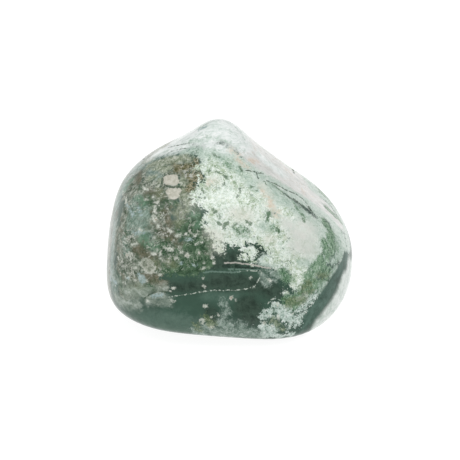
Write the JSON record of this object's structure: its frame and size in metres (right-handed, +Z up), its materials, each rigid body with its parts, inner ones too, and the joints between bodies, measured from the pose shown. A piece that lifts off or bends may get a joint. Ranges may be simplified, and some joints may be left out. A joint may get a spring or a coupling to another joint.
{
  "type": "tumbled stone",
  "caption": "Polished tree agate pebble, worn to soft broad faces below a blunt peak, that rests on its flat base.",
  "frame": {"origin": "in the flat worn base, under the middle of the stone's box", "axes": "+Z is up from the resting face, +X is the stone's right and runs along its long side, and -Y is its front, the side in the picture"},
  "size_m": [0.0336, 0.0266, 0.0252],
  "materials": {
    "agate": "polished"
  },
  "bodies": {
    "root": {"tumbled_stone": "agate"}
  },
  "joints": []
}
